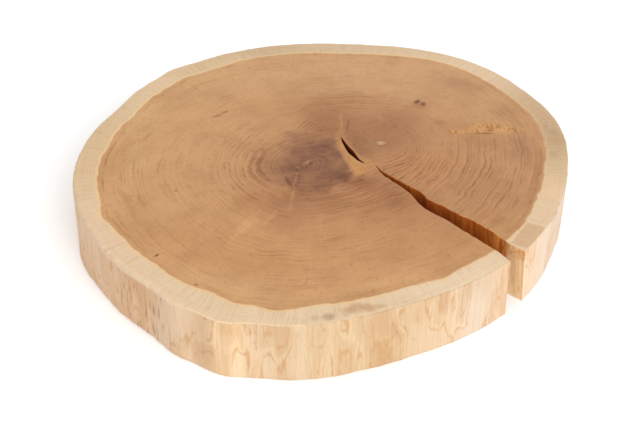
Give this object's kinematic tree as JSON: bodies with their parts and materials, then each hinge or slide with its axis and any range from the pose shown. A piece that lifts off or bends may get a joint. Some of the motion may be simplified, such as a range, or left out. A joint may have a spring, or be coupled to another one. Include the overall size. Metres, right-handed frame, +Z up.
{
  "type": "wood slice",
  "caption": "Thick debarked oak trunk slice lying flat, with a lobed outline, a drying crack open to the rim and a short slit beside its heart.",
  "frame": {"origin": "middle of the underside: the centre of the box of the slice, on the surface it rests on", "axes": "+Z up, along the trunk; +X to the right and +Y to the back when the crack's mouth is at the front right"},
  "size_m": [0.3936, 0.3938, 0.05],
  "materials": {
    "bare_oak": "sanded, uncoated, pale sapwood rim round a golden brown heart"
  },
  "bodies": {
    "root": {"wood_slice": "bare_oak"}
  },
  "joints": []
}
